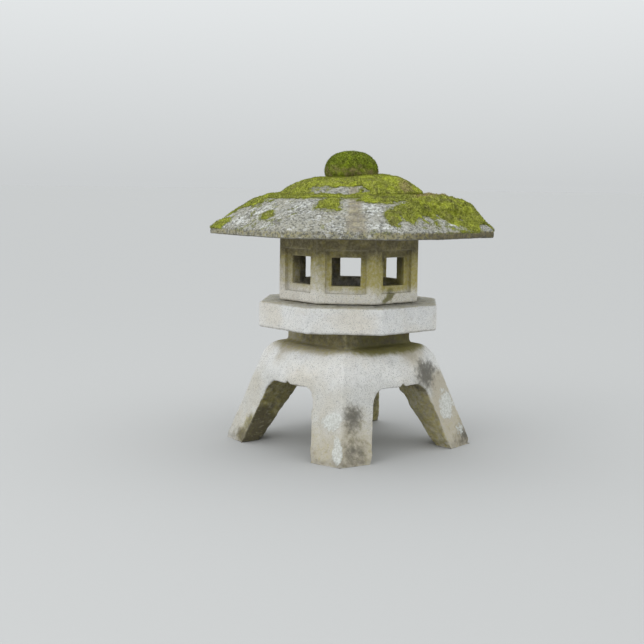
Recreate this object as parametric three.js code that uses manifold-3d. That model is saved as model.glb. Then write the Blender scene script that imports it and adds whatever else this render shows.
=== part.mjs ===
// Snow-viewing garden lantern of stacked granite, in millimetres, +Z up.
// The origin is at the middle of the ground under the four feet. The front is -Y.
// Azimuths are measured from the front towards +X, and the four legs stand at 0, 90, 180 and 270 degrees.
// Bottom to top: leg stone, platform, firebox, roof and jewel. Each rests on lead shims in a thin open bed.

import * as THREE from 'three';
import { mergeVertices } from 'three/addons/utils/BufferGeometryUtils.js';
import Module from 'manifold-3d';

const wasm = await Module();
wasm.setup();

// Driving dimensions. An octagonal stone is given by its apothem, half its width across flats.
const ROOF_APOTHEM = 454.5; // three shaku across flats
const PLATFORM_APOTHEM = 292;
const FIREBOX_APOTHEM = 227.5;
const FIREBOX_WALL = 50;
const NECK_CORNER = 207; // axis to a corner of the square neck, over a leg
const FOOT_RIDGE = 421; // axis to a leg's outer arris on the ground
const SHOULDER_CORNER = 276; // where that arris would meet the top of the shoulders

const SHOULDER_TOP = 342; // heights above the ground
const NECK_TOP = 396;
const PLATFORM_BOTTOM = 399;
const PLATFORM_TOP = 483;
const FIREBOX_TOP = 704;
const EAVE_BOTTOM = 707;
const EAVE_TOP = 730;
const ROOF_TOP = 885;
const JEWEL_TOP = 968;

const BED = PLATFORM_BOTTOM - NECK_TOP; // open bed between two stones
const SEAT_RISE = 3; // raised seat that lifts the firebox clear of rain
const FIREBOX_BOTTOM = PLATFORM_TOP + SEAT_RISE + BED;

const ARRIS = 5; // worn edges of the stones
const TOUCH = 0.3; // clearance between pieces that rest on each other
const TENON_PLAY = 3; // clearance round a tenon in its mortise
const OVER = 20; // how far a cutting solid runs past a face, or a joined one is sunk in it
const OCTAGON = Math.PI / 8; // azimuth of an octagon's first corner
const SIDES = ['front', 'right', 'back', 'left'];

const GRANITE = { color: 0xa9a697, roughness: 0.92, metalness: 0 };
const WARM_GRANITE = { color: 0xa39c84, roughness: 0.92, metalness: 0 };
const MOSS = { color: 0x66702a, roughness: 1, metalness: 0 };
const LEAD = { color: 0x55565a, roughness: 0.6, metalness: 0.6 };
const CLAY = { color: 0x8a5a3c, roughness: 0.5, metalness: 0 };
const WAX = { color: 0xe8dcc0, roughness: 0.5, metalness: 0 };
const COTTON = { color: 0x2c2824, roughness: 1, metalness: 0 };

// ---- solids ----

// Turns a closed geometry into a solid, without the slivers that a lathe leaves on its axis.
function solid(geometry) {
  const bare = geometry.clone();
  bare.deleteAttribute('normal');
  bare.deleteAttribute('uv');
  const merged = mergeVertices(bare, 1e-3);
  const index = merged.index.array;
  const kept = [];
  for (let i = 0; i < index.length; i += 3) {
    const [a, b, c] = [index[i], index[i + 1], index[i + 2]];
    if (a !== b && b !== c && c !== a) {
      kept.push(a, b, c);
    }
  }
  const vertProperties = new Float32Array(merged.attributes.position.array);
  const triVerts = new Uint32Array(kept);
  return new wasm.Manifold(new wasm.Mesh({ numProp: 3, vertProperties, triVerts }));
}

// Turns a solid back into a geometry for a mesh.
function geometryOf(body) {
  const mesh = body.getMesh();
  const geometry = new THREE.BufferGeometry();
  geometry.setAttribute('position', new THREE.BufferAttribute(new Float32Array(mesh.vertProperties), 3));
  geometry.setIndex(Array.from(mesh.triVerts));
  geometry.computeVertexNormals();
  return geometry;
}

// A turned or many-sided geometry about Z, from [radius to a corner, height] pairs listed from the bottom up.
function lathe(profile, sides, firstCorner = 0) {
  const points = profile.map(([radius, height]) => new THREE.Vector2(radius, height));
  const geometry = new THREE.LatheGeometry(points, sides, firstCorner);
  geometry.rotateX(Math.PI / 2);
  return geometry;
}

// An octagonal solid with a flat side to the front, from [apothem, height] pairs.
function octagonal(profile) {
  const corner = 1 / Math.cos(OCTAGON);
  return solid(lathe(profile.map(([apothem, height]) => [apothem * corner, height]), 8, OCTAGON));
}

function turned(profile, sides = 24) {
  return solid(lathe(profile, sides));
}

// A box of the given size whose underside is at the given height, turned to an azimuth and moved outwards.
function block([width, depth, height], bottom, azimuth = 0, outwards = 0) {
  const geometry = new THREE.BoxGeometry(width, depth, height);
  geometry.translate(0, -outwards, bottom + height / 2);
  geometry.rotateZ(azimuth);
  return solid(geometry);
}

// An outline of [across, height] drawn in a shape, pushed right through the axis along an azimuth.
function tunnel(shape, length, azimuth) {
  const geometry = new THREE.ExtrudeGeometry(shape, { depth: length, bevelEnabled: false, curveSegments: 8 });
  geometry.rotateX(Math.PI / 2);
  geometry.translate(0, length / 2, 0);
  geometry.rotateZ(azimuth);
  return solid(geometry);
}

function curve(start, control, end, steps) {
  const [a, b, c] = [start, control, end].map(([x, y]) => new THREE.Vector2(x, y));
  return new THREE.QuadraticBezierCurve(a, b, c).getPoints(steps).map((p) => [p.x, p.y]);
}

function mesh(name, geometry, finish, height = 0) {
  const made = new THREE.Mesh(geometry, new THREE.MeshStandardMaterial(finish));
  made.name = name;
  made.position.z = height;
  return made;
}

// ---- leg stone ----

const SHOULDER_ROUND = 58; // how far the shoulder's rounding reaches down and inwards
const SIDE_BULGE = 0.832; // radius at a side's middle over radius at a leg; a plain square has 0.707
const NECK_FLARE = 14;
const TENON_WIDTH = 110;
const TENON_HEIGHT = 40;

const ARCH_FOOT_HALF = 179; // half-widths of the arch between two legs
const ARCH_SPRING_HALF = 124;
const ARCH_LOBE_HALF = 68;
const ARCH_POINT_HALF = 16;
const ARCH_SPRING_HEIGHT = 176; // and its heights
const ARCH_LOBE_HEIGHT = 221;
const ARCH_POINT_HEIGHT = 237;

const HOLLOW_FOOT_HALF = 298; // the four-sided hollow under the middle
const HOLLOW_TOP_HALF = 151;
const HOLLOW_TOP = 219;

// The block before its arches are cut: eight-cornered in plan, with a corner over each leg.
function legBlock() {
  const lean = (FOOT_RIDGE - SHOULDER_CORNER) / SHOULDER_TOP;
  const start = [SHOULDER_CORNER + lean * SHOULDER_ROUND, SHOULDER_TOP - SHOULDER_ROUND];
  const end = [SHOULDER_CORNER - SHOULDER_ROUND, SHOULDER_TOP];
  const shoulder = curve(start, [SHOULDER_CORNER, SHOULDER_TOP], end, 8);
  const geometry = lathe([[0, 0], [FOOT_RIDGE, 0], ...shoulder, [0, SHOULDER_TOP]], 8);
  const position = geometry.attributes.position;
  for (let i = 0; i < position.count; i += 1) {
    const [x, y] = [position.getX(i), position.getY(i)];
    const betweenLegs = Math.min(Math.abs(x), Math.abs(y)) > 1;
    if (betweenLegs) {
      position.setXY(i, x * SIDE_BULGE, y * SIDE_BULGE);
    }
  }
  return solid(geometry);
}

// The square neck with its flared foot, and the tenon that keeps the platform in place.
function neck() {
  const flare = curve([NECK_CORNER + NECK_FLARE, SHOULDER_TOP], [NECK_CORNER, SHOULDER_TOP],
    [NECK_CORNER, SHOULDER_TOP + NECK_FLARE], 4);
  const bottom = SHOULDER_TOP - OVER;
  const column = solid(lathe([[0, bottom], [NECK_CORNER + NECK_FLARE, bottom], ...flare,
    [NECK_CORNER, NECK_TOP - ARRIS], [NECK_CORNER - ARRIS, NECK_TOP], [0, NECK_TOP]], 4));
  return column.add(block([TENON_WIDTH, TENON_WIDTH, TENON_HEIGHT + OVER], NECK_TOP - OVER, Math.PI / 4));
}

// The bracket-shaped arch between two legs: leaning jambs, round springings and a point cut in the middle.
function archShape() {
  const leaning = (ARCH_FOOT_HALF - ARCH_SPRING_HALF) / ARCH_SPRING_HEIGHT;
  const footHalf = ARCH_FOOT_HALF + leaning * OVER;
  const turnHalf = ARCH_SPRING_HALF - leaning * (ARCH_LOBE_HEIGHT - ARCH_SPRING_HEIGHT);
  const shape = new THREE.Shape();
  shape.moveTo(-footHalf, -OVER);
  shape.lineTo(-ARCH_SPRING_HALF, ARCH_SPRING_HEIGHT);
  shape.quadraticCurveTo(-turnHalf, ARCH_LOBE_HEIGHT, -ARCH_LOBE_HALF, ARCH_LOBE_HEIGHT);
  shape.lineTo(-ARCH_POINT_HALF, ARCH_LOBE_HEIGHT);
  shape.quadraticCurveTo(-ARCH_POINT_HALF / 4, ARCH_LOBE_HEIGHT, 0, ARCH_POINT_HEIGHT);
  shape.quadraticCurveTo(ARCH_POINT_HALF / 4, ARCH_LOBE_HEIGHT, ARCH_POINT_HALF, ARCH_LOBE_HEIGHT);
  shape.lineTo(ARCH_LOBE_HALF, ARCH_LOBE_HEIGHT);
  shape.quadraticCurveTo(turnHalf, ARCH_LOBE_HEIGHT, ARCH_SPRING_HALF, ARCH_SPRING_HEIGHT);
  shape.lineTo(footHalf, -OVER);
  return shape;
}

// The hollow under the middle, whose four sloping sides are the backs of the legs.
function underHollow() {
  const slope = (HOLLOW_FOOT_HALF - HOLLOW_TOP_HALF) / HOLLOW_TOP;
  const foot = (HOLLOW_FOOT_HALF + slope * OVER) * Math.SQRT2;
  const top = HOLLOW_TOP_HALF * Math.SQRT2;
  return solid(lathe([[0, -OVER], [foot, -OVER], [top, HOLLOW_TOP], [0, HOLLOW_TOP]], 4, Math.PI / 4));
}

function legStone() {
  const arch = archShape();
  const length = 3 * FOOT_RIDGE;
  return legBlock().add(neck())
    .subtract(tunnel(arch, length, Math.PI / 4))
    .subtract(tunnel(arch, length, -Math.PI / 4))
    .subtract(underHollow());
}

// ---- platform ----

const SEAT_APOTHEM = 215;
const SPIGOT_RISE = 15; // low plug that enters the firebox
const CHAMBER_APOTHEM = FIREBOX_APOTHEM - FIREBOX_WALL;

function platform() {
  const height = PLATFORM_TOP - PLATFORM_BOTTOM;
  const spigot = CHAMBER_APOTHEM - 2 * TENON_PLAY;
  const slab = octagonal([
    [0, 0],
    [PLATFORM_APOTHEM - ARRIS, 0],
    [PLATFORM_APOTHEM, ARRIS],
    [PLATFORM_APOTHEM, height - ARRIS],
    [PLATFORM_APOTHEM - ARRIS, height],
    [SEAT_APOTHEM, height],
    [SEAT_APOTHEM, height + SEAT_RISE],
    [spigot, height + SEAT_RISE],
    [spigot, height + SPIGOT_RISE],
    [0, height + SPIGOT_RISE],
  ]);
  const mortise = TENON_WIDTH + 2 * TENON_PLAY;
  const depth = TENON_HEIGHT - BED + TENON_PLAY;
  return slab.subtract(block([mortise, mortise, depth + OVER], -OVER, Math.PI / 4));
}

// ---- firebox ----

const WINDOW = [92, 90]; // width and height of an opening
const WINDOW_SILL = 547 - FIREBOX_BOTTOM;
const PANEL = [131, 138]; // sunk panel round an opening
const PANEL_DEPTH = 15;
const PANEL_SILL = 523 - FIREBOX_BOTTOM;

function firebox() {
  const height = FIREBOX_TOP - FIREBOX_BOTTOM;
  let walls = octagonal([
    [0, 0],
    [FIREBOX_APOTHEM - ARRIS, 0],
    [FIREBOX_APOTHEM, ARRIS],
    [FIREBOX_APOTHEM, height - ARRIS],
    [FIREBOX_APOTHEM - ARRIS, height],
    [0, height],
  ]);
  walls = walls.subtract(octagonal([[0, -OVER], [CHAMBER_APOTHEM, -OVER], [CHAMBER_APOTHEM, height + OVER],
    [0, height + OVER]]));
  for (let side = 0; side < 8; side += 1) {
    const azimuth = (side * Math.PI) / 4;
    const reach = 2 * (FIREBOX_WALL + OVER);
    const through = block([WINDOW[0], reach, WINDOW[1]], WINDOW_SILL, azimuth, FIREBOX_APOTHEM);
    const panel = block([PANEL[0], 2 * PANEL_DEPTH, PANEL[1]], PANEL_SILL, azimuth, FIREBOX_APOTHEM);
    walls = walls.subtract(through).subtract(panel);
  }
  return walls;
}

// ---- roof ----

const SPIGOT_DROP = 13; // ring under the roof that enters the firebox
const SOFFIT_RISE = 9; // the soffit is cut back behind a drip band
const DRIP_BAND = 36;
const DRIP_SLOPE = 14;
const BEARING_MARGIN = 10; // how far the bearing face under the roof runs past the firebox
const FLUE_MOUTH = 130; // hollow over the flame
const FLUE_TOP = 100;
const FLUE_RISE = 60;
const MORTISE_RADIUS = 38;
const MORTISE_DEPTH = 60;
const CROWN_APOTHEM = 230; // foot of the raised crown
const CROWN_FLAT = 92; // flat top round the jewel
const LEDGE_APOTHEM = 272; // the slope ends in a narrow ledge round the crown
const LEDGE_HEIGHT = 831;

// The upper surface from the eave to the axis, as [apothem, height above the ground], raised by a thickness.
function roofSurface(raised = 0) {
  const [shoulder, crownShoulder] = [318, 165];
  const slope = curve([ROOF_APOTHEM, EAVE_TOP], [shoulder, LEDGE_HEIGHT], [LEDGE_APOTHEM, LEDGE_HEIGHT], 6);
  const crown = curve([CROWN_APOTHEM, LEDGE_HEIGHT], [crownShoulder, ROOF_TOP], [CROWN_FLAT, ROOF_TOP], 5);
  return [...slope, ...crown, [0, ROOF_TOP]].map(([apothem, height]) => [apothem, height + raised]);
}

function roof() {
  const bearing = FIREBOX_APOTHEM + BEARING_MARGIN;
  const spigot = CHAMBER_APOTHEM - 2 * TENON_PLAY;
  const soffit = EAVE_BOTTOM + SOFFIT_RISE;
  const drip = ROOF_APOTHEM - DRIP_BAND;
  const body = octagonal([
    [0, EAVE_BOTTOM + FLUE_RISE],
    [FLUE_TOP, EAVE_BOTTOM + FLUE_RISE],
    [FLUE_MOUTH, EAVE_BOTTOM - SPIGOT_DROP],
    [spigot, EAVE_BOTTOM - SPIGOT_DROP],
    [spigot, EAVE_BOTTOM],
    [bearing, EAVE_BOTTOM],
    [bearing + SOFFIT_RISE, soffit],
    [drip - DRIP_SLOPE, soffit],
    [drip, EAVE_BOTTOM],
    [ROOF_APOTHEM, EAVE_BOTTOM],
    ...roofSurface(),
  ]);
  const mortise = turned([
    [0, ROOF_TOP - MORTISE_DEPTH],
    [MORTISE_RADIUS, ROOF_TOP - MORTISE_DEPTH],
    [MORTISE_RADIUS, ROOF_TOP + OVER],
    [0, ROOF_TOP + OVER],
  ]);
  return body.subtract(mortise);
}

// ---- jewel ----

const JEWEL_RADIUS = 79;
const JEWEL_WAIST = 62;
const JEWEL_BELT = 912; // height of the widest part
const JEWEL_SIDES = 32;

// Half the outline of the jewel's dome, from its belt up to the top, raised by a thickness.
function domeLine(raised = 0) {
  const steps = 8;
  const points = [];
  for (let i = 0; i <= steps; i += 1) {
    const angle = (i * Math.PI) / 2 / steps;
    const radius = i === steps ? 0 : (JEWEL_RADIUS + raised / 2) * Math.cos(angle);
    points.push([radius, JEWEL_BELT + (JEWEL_TOP - JEWEL_BELT + raised) * Math.sin(angle)]);
  }
  return points;
}

function jewel() {
  const tenon = MORTISE_RADIUS - TENON_PLAY;
  const tenonEnd = ROOF_TOP - MORTISE_DEPTH + 2 * TENON_PLAY;
  const bed = ROOF_TOP + TOUCH;
  const belly = curve([JEWEL_WAIST, bed], [JEWEL_RADIUS, bed], [JEWEL_RADIUS, JEWEL_BELT], 4);
  return turned([
    [0, tenonEnd],
    [tenon, tenonEnd],
    [tenon, bed],
    ...belly,
    ...domeLine().slice(1),
  ], JEWEL_SIDES);
}

// ---- lead shims and lamp ----

const SHIM_THICKNESS = BED - 2 * TOUCH;
const NECK_SHIM = [40, 40];
const NECK_SHIM_OUTWARDS = 125;
const WALL_SHIM = [60, 26];
const WALL_SHIM_OUTWARDS = FIREBOX_APOTHEM - FIREBOX_WALL / 2;

// Four lead plates in the bed that starts at a height, one towards each leg.
function shims(joint, bedHeight, outwards, [width, depth]) {
  const set = new THREE.Group();
  SIDES.forEach((side, quarter) => {
    const plate = mesh(`${joint}_shim_${side}`, new THREE.BoxGeometry(width, depth, SHIM_THICKNESS), LEAD);
    plate.position.set(0, -outwards, bedHeight + BED / 2);
    const turn = new THREE.Group();
    turn.rotation.z = (quarter * Math.PI) / 2;
    turn.add(plate);
    set.add(turn);
  });
  return set;
}

const SAUCER_RADIUS = 42;
const SAUCER_HEIGHT = 16;
const SAUCER_WALL = 4;
const CANDLE_RADIUS = 23;
const CANDLE_HEIGHT = 22;
const CANDLE_RIM = 2; // rounded off at the top
const WICK_RADIUS = 1.2;
const WICK_LENGTH = 17;
const WICK_HOLE = 10;

function saucer() {
  const foot = 0.7 * SAUCER_RADIUS;
  return turned([
    [0, 0],
    [foot, 0],
    [SAUCER_RADIUS, SAUCER_HEIGHT],
    [SAUCER_RADIUS - SAUCER_WALL, SAUCER_HEIGHT],
    [foot - SAUCER_WALL / 2, SAUCER_WALL],
    [0, SAUCER_WALL],
  ]);
}

function candle() {
  const [top, hole] = [CANDLE_HEIGHT, WICK_RADIUS + TOUCH];
  return turned([
    [0, 0],
    [CANDLE_RADIUS, 0],
    [CANDLE_RADIUS, top - CANDLE_RIM],
    [CANDLE_RADIUS - CANDLE_RIM, top],
    [hole, top - CANDLE_RIM / 2],
    [hole, top - WICK_HOLE],
    [0, top - WICK_HOLE],
  ]);
}

function wick() {
  return turned([[0, 0], [WICK_RADIUS, 0], [WICK_RADIUS, WICK_LENGTH], [0, WICK_LENGTH]], 8);
}

// The saucer stands on the platform's plug, in the middle of the firebox.
function lamp() {
  const floor = PLATFORM_TOP + SPIGOT_RISE + TOUCH;
  const candleFoot = SAUCER_WALL + TOUCH;
  const wickFoot = candleFoot + CANDLE_HEIGHT - WICK_HOLE + TOUCH;
  const set = new THREE.Group();
  set.position.z = floor;
  set.add(mesh('lamp_saucer', geometryOf(saucer()), CLAY));
  set.add(mesh('candle', geometryOf(candle()), WAX, candleFoot));
  set.add(mesh('candle_wick', geometryOf(wick()), COTTON, wickFoot));
  return set;
}

// ---- moss ----

const CAP_THICKNESS = 12;
const CROWN_MOSS = 10;
const SLOPE_MOSS = 14;
const MOSS_EDGE = 6; // the crown's moss stops this far inside its foot
const LEDGE_GAP = 14; // and the slope's starts this far outside it

// The layer between two raised copies of the roof's upper surface.
function roofLayer(thickness) {
  const closed = (raised) => octagonal([
    [0, EAVE_BOTTOM],
    [ROOF_APOTHEM, EAVE_BOTTOM],
    ...roofSurface(raised),
  ]);
  return closed(thickness).subtract(closed(TOUCH));
}

// An upright block over the region between a round hole and an outline given as radius for azimuth.
function region(holeRadius, radiusAt, steps) {
  const shape = new THREE.Shape();
  for (let i = 0; i < steps; i += 1) {
    const azimuth = (2 * Math.PI * i) / steps;
    const radius = radiusAt(azimuth);
    const [x, y] = [radius * Math.sin(azimuth), -radius * Math.cos(azimuth)];
    if (i === 0) {
      shape.moveTo(x, y);
    } else {
      shape.lineTo(x, y);
    }
  }
  const hole = new THREE.Path();
  hole.absarc(0, 0, holeRadius, 0, 2 * Math.PI, true);
  shape.holes.push(hole);
  const height = JEWEL_TOP - EAVE_BOTTOM;
  const pushed = { depth: height, bevelEnabled: false, curveSegments: 12 };
  const geometry = new THREE.ExtrudeGeometry(shape, pushed);
  geometry.translate(0, 0, EAVE_BOTTOM);
  return solid(geometry);
}

// The layer over the jewel's dome, from a little above its belt.
function capMoss() {
  const dome = (raised) => turned([[0, JEWEL_BELT], ...domeLine(raised)], JEWEL_SIDES);
  const width = 3 * JEWEL_RADIUS;
  const bare = 10;
  const skirt = block([width, width, 2 * bare], JEWEL_BELT - bare);
  return dome(CAP_THICKNESS).subtract(dome(TOUCH)).subtract(skirt);
}

function crownMoss() {
  const aroundJewel = JEWEL_RADIUS + CAP_THICKNESS;
  return roofLayer(CROWN_MOSS).intersect(region(aroundJewel, () => CROWN_APOTHEM - MOSS_EDGE, 24));
}

// A collar round the foot of the crown, with a broad tongue down the right-hand slope.
function slopeMoss() {
  const [collar, ripple] = [300, 16];
  const tongue = 120;
  const tongueAzimuth = THREE.MathUtils.degToRad(62);
  const tongueSpread = THREE.MathUtils.degToRad(34);
  const radiusAt = (azimuth) => collar + ripple * Math.sin(5 * azimuth)
    + tongue * Math.exp(-(((azimuth - tongueAzimuth) / tongueSpread) ** 2));
  return roofLayer(SLOPE_MOSS).intersect(region(CROWN_APOTHEM + LEDGE_GAP, radiusAt, 40));
}

// ---- assembly ----

const lantern = new THREE.Group();
lantern.add(mesh('leg_stone', geometryOf(legStone()), GRANITE));
lantern.add(shims('neck', NECK_TOP, NECK_SHIM_OUTWARDS, NECK_SHIM));
lantern.add(mesh('platform_stone', geometryOf(platform()), GRANITE, PLATFORM_BOTTOM));
lantern.add(shims('firebox', PLATFORM_TOP + SEAT_RISE, WALL_SHIM_OUTWARDS, WALL_SHIM));
lantern.add(lamp());
lantern.add(mesh('firebox_stone', geometryOf(firebox()), WARM_GRANITE, FIREBOX_BOTTOM));
lantern.add(shims('roof', FIREBOX_TOP, WALL_SHIM_OUTWARDS, WALL_SHIM));
lantern.add(mesh('roof_stone', geometryOf(roof()), GRANITE));
lantern.add(mesh('jewel_stone', geometryOf(jewel()), GRANITE));
lantern.add(mesh('moss_cap', geometryOf(capMoss()), MOSS));
lantern.add(mesh('moss_crown', geometryOf(crownMoss()), MOSS));
lantern.add(mesh('moss_slope', geometryOf(slopeMoss()), MOSS));

export default lantern;
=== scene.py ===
# A snow-viewing garden lantern of weathered granite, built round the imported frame.
# Metres, +Z up, -Y the front. Azimuths run from the front towards +X.
import itertools
import math

import bmesh
import bpy
import numpy as np
from mathutils import Matrix, Vector


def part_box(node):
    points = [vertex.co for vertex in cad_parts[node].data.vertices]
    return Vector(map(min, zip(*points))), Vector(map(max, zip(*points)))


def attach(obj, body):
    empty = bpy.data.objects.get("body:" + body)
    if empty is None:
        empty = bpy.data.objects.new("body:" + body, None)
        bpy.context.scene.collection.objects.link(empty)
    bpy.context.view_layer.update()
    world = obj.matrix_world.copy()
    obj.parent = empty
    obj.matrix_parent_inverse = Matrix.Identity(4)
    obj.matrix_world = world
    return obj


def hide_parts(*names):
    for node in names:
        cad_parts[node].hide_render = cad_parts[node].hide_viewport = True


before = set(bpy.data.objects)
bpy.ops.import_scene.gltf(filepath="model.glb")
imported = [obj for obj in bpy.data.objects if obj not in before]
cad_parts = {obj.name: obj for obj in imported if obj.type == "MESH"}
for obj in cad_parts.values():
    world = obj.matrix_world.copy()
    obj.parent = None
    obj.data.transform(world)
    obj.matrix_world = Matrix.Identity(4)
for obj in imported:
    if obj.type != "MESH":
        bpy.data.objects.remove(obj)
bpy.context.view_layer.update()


# ---- places, from the frame ----

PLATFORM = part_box("platform_stone")
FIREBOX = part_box("firebox_stone")
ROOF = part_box("roof_stone")
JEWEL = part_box("jewel_stone")
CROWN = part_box("moss_crown")
SHOULDER = 0.342  # height of the legs' shoulders, where the neck begins
ARCH_POINT = 0.237  # height of the points of the arches between the legs
CROWN_REACH = 0.228  # where the crown's moss ends and the slope's begins, just inside the crown's foot
WINDOW_HALF = 0.046  # half the width of a window
EAVE_SHIFT = 0.011  # how much further the eaves reach on the right than a true octagon's
SHOOT_LENGTH = 0.0042  # of a shoot of moss
MAT_DEPTH = 0.0015  # how far a mat of moss is sunk into its stone


def polar(points):
    """Azimuth in degrees, from the front towards +X, and distance from the axis."""
    azimuth = np.degrees(np.arctan2(points[:, 0], -points[:, 1]))
    return azimuth, np.hypot(points[:, 0], points[:, 1])


def octagon_reach(points):
    """Each point's distance from the axis, measured square to the octagon's nearest side."""
    azimuth, radius = polar(points)
    off_side = np.radians((azimuth + 22.5) % 45 - 22.5)
    return radius * np.cos(off_side)


def fade(value, start, end):
    """0 at start and 1 at end, smoothly between."""
    t = np.clip((value - start) / (end - start), 0, 1)
    return t * t * (3 - 2 * t)


# ---- noise ----


def hashed(cells, seed):
    """A repeatable number from 0 to 1 for each whole-numbered cell."""
    mixed = cells.astype(np.int64) @ np.array([73856093, 19349663, 83492791]) + seed * 374761393
    mixed = ((mixed ^ (mixed >> 13)) * 1274126177) & 0xFFFFFFFF
    mixed = ((mixed ^ (mixed >> 15)) * 668265263) & 0xFFFFFFFF
    return ((mixed ^ (mixed >> 16)) & 0xFFFF) / 65535


def lumps(points, size, seed):
    """Smooth noise from -1 to 1, with lumps of the given size."""
    scaled = points / size
    cell = np.floor(scaled)
    t = scaled - cell
    t = t * t * (3 - 2 * t)
    total = np.zeros(len(points))
    for corner in itertools.product((0, 1), repeat=3):
        step = np.array(corner)
        weight = np.prod(np.where(step, t, 1 - t), axis=1)
        total += weight * hashed(cell + step, seed)
    return 2 * total - 1


def rough(points, size, seed, octaves=3):
    """Noise from about -1 to 1 with finer and weaker lumps inside the large ones."""
    total = sum(lumps(points, size / 2**k, seed + k) / 2**k for k in range(octaves))
    return total / sum(1 / 2**k for k in range(octaves))


def cushions(points, size, seed):
    """Distance from the nearest of scattered seeds, in their spacings: 0 on a seed, about 1 between."""
    scaled = points / size
    cell = np.floor(scaled)
    nearest = np.full(len(points), 9.0)
    for corner in itertools.product((-1, 0, 1), repeat=3):
        near = cell + np.array(corner)
        place = near + np.stack([hashed(near, seed + k) for k in range(3)], axis=1)
        nearest = np.minimum(nearest, np.linalg.norm(scaled - place, axis=1))
    return nearest


# ---- meshes ----


def link(name, mesh):
    piece = bpy.data.objects.new(name, mesh)
    bpy.context.scene.collection.objects.link(piece)
    return piece


def places(mesh):
    points = np.empty(len(mesh.vertices) * 3)
    mesh.vertices.foreach_get("co", points)
    return points.reshape(-1, 3)


def move(mesh, points):
    mesh.vertices.foreach_set("co", points.ravel())
    mesh.update()


def facing(mesh):
    directions = np.empty(len(mesh.vertices) * 3)
    mesh.vertex_normals.foreach_get("vector", directions)
    return directions.reshape(-1, 3)


def edge_ends(mesh):
    ends = np.empty(len(mesh.edges) * 2, np.int32)
    mesh.edges.foreach_get("vertices", ends)
    return ends.reshape(-1, 2)


def relaxed(values, ends, rounds, pull=0.5):
    """Values at a mesh's points, drawn towards their neighbours' mean a number of times."""
    count = np.bincount(ends.ravel(), minlength=len(values))[:, None]
    for _ in range(rounds):
        total = np.zeros_like(values)
        for a, b in ((0, 1), (1, 0)):
            for axis in range(values.shape[1]):
                total[:, axis] += np.bincount(ends[:, a], values[ends[:, b], axis], len(values))
        values = values + pull * (total / np.maximum(count, 1) - values)
    return values


def keep_values(mesh, name, values):
    """Stores one number per point for a material to read."""
    layer = mesh.attributes.new(name, "FLOAT", "POINT")
    layer.data.foreach_set("value", np.asarray(values, np.float32))


def evaluated(piece):
    graph = bpy.context.evaluated_depsgraph_get()
    return bpy.data.meshes.new_from_object(piece.evaluated_get(graph), depsgraph=graph)


def carve(node, grain, rounds, crisp=False):
    """A finely meshed copy of a stone, its arrises worn round. Its "edge" values are 1 on the worn arrises.

    The meshing keeps the arrises of a crisp stone sharp, and begins to round the others.
    """
    piece = link("worn_" + node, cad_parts[node].data.copy())
    piece.data.materials.clear()
    remesh = piece.modifiers.new("fine", "REMESH")
    if crisp:
        low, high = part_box(node)
        remesh.mode = "SHARP"
        remesh.octree_depth = 8
        remesh.scale = max(high - low) / (2**remesh.octree_depth * grain)
    else:
        remesh.mode = "VOXEL"
        remesh.voxel_size = grain
    mesh = evaluated(piece)
    piece.modifiers.clear()
    piece.data = mesh
    before = places(mesh)
    outwards = facing(mesh)
    ends = edge_ends(mesh)
    after = relaxed(before, ends, rounds)
    worn = np.abs(((after - before) * outwards).sum(axis=1))
    spread = relaxed(np.minimum(worn / (0.12 * grain * rounds), 1)[:, None], ends, 2)[:, 0]
    move(mesh, after)
    keep_values(mesh, "edge", spread)
    mesh.polygons.foreach_set("use_smooth", np.ones(len(mesh.polygons), bool))
    return piece, spread


def weather(piece, edge, seed, swell=0.0012, pits=0.0012, chips=0.004):
    """Gives a stone its uneven faces, open pits and chipped arrises."""
    mesh = piece.data
    points = places(mesh)
    outwards = facing(mesh)
    uneven = swell * (lumps(points, 0.11, seed) + 0.5 * lumps(points, 0.035, seed + 1))
    pitted = -pits * fade(lumps(points, 0.011, seed + 2), 0.25, 0.9)
    chipped = -chips * edge * fade(rough(points, 0.04, seed + 3), 0.05, 0.6)
    nicked = -0.5 * chips * edge * fade(lumps(points, 0.013, seed + 5), 0.1, 0.8)
    move(mesh, points + outwards * (uneven + pitted + chipped + nicked)[:, None])


# ---- materials ----


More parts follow.
